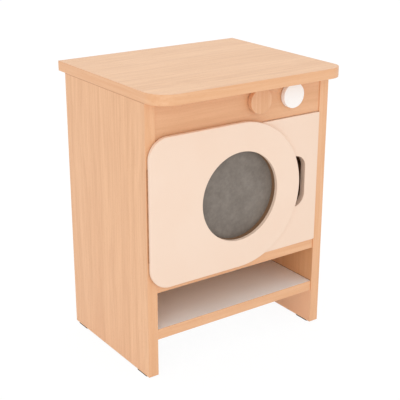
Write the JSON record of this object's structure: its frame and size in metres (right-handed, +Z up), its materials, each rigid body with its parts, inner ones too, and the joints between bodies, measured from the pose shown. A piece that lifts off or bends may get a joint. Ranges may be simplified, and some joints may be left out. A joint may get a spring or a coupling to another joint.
{
  "type": "toy washing machine",
  "caption": "Play washing machine: beech-look cabinet with a hinged cream door, round window, finger slot, turning knobs, an overhanging top and an open shelf.",
  "frame": {"origin": "on the floor under the middle of the top board", "axes": "+X to the right as seen from the front, +Y to the back, +Z up"},
  "size_m": [0.404, 0.342, 0.53],
  "materials": {
    "beech_board": "beech-look melamine, satin",
    "beech_edge": "beech-look edge band, satin",
    "white_board": "white melamine, satin",
    "cream_paint": "cream lacquered fibreboard, satin",
    "white_paint": "white lacquer, satin",
    "turned_beech": "clear lacquered beech",
    "grey_pane": "mottled smoke grey acrylic, matte",
    "brass_hinge": "bronzed, satin",
    "zinc_steel": "zinc plated",
    "magnet": "sintered ferrite, matt",
    "white_plastic": "moulded",
    "dark_plastic": "moulded, matt"
  },
  "bodies": {
    "cabinet": {"top_board": "beech_board", "top_edge_band": "beech_edge", "side_panel_left": "beech_board", "side_panel_right": "beech_board", "side_edge_band_left": "beech_edge", "side_edge_band_right": "beech_edge", "compartment_floor": "beech_board", "compartment_floor_edge_band": "beech_edge", "bottom_shelf": "white_board", "bottom_shelf_edge_band": "beech_edge", "control_panel": "beech_board", "control_panel_edge_band": "beech_edge", "back_panel": "beech_board", "back_panel_screws": "zinc_steel", "dowels": "turned_beech", "cam_housings": "zinc_steel", "cam_bolts": "zinc_steel", "glides": "dark_plastic", "glide_nails": "zinc_steel", "hinge_leaf_fixed": "brass_hinge", "hinge_pin": "brass_hinge", "hinge_screws_fixed": "brass_hinge", "catch_housing": "white_plastic", "catch_magnet": "magnet", "catch_poles": "zinc_steel", "catch_screws": "zinc_steel", "knob_bushes": "white_plastic"},
    "door": {"door_plate": "cream_paint", "door_front_plate": "cream_paint", "front_plate_screws": "zinc_steel", "window_pane": "grey_pane", "pane_clips": "white_plastic", "pane_clip_screws": "zinc_steel", "hinge_leaf_door": "brass_hinge", "hinge_screws_door": "brass_hinge", "strike_plate": "zinc_steel", "strike_screw": "zinc_steel"},
    "beech_knob": {"knob_beech": "turned_beech", "knob_beech_insert": "brass_hinge", "knob_beech_bolt": "zinc_steel", "knob_beech_washer": "zinc_steel"},
    "white_knob": {"knob_white": "white_paint", "knob_white_insert": "brass_hinge", "knob_white_bolt": "zinc_steel", "knob_white_washer": "zinc_steel"}
  },
  "joints": [
    {"name": "door_swing", "type": "hinge", "parent": "cabinet", "child": "door", "pos_m": [-0.1979, -0.1295, 0.3126], "axis": [0, 0, -1], "range_deg": [0, 100]},
    {"name": "beech_knob_turn", "type": "hinge", "parent": "cabinet", "child": "beech_knob", "pos_m": [0.036, -0.1325, 0.4824], "axis": [0, -1, 0], "continuous": true},
    {"name": "white_knob_turn", "type": "hinge", "parent": "cabinet", "child": "white_knob", "pos_m": [0.1111, -0.1325, 0.4824], "axis": [0, -1, 0], "continuous": true}
  ]
}
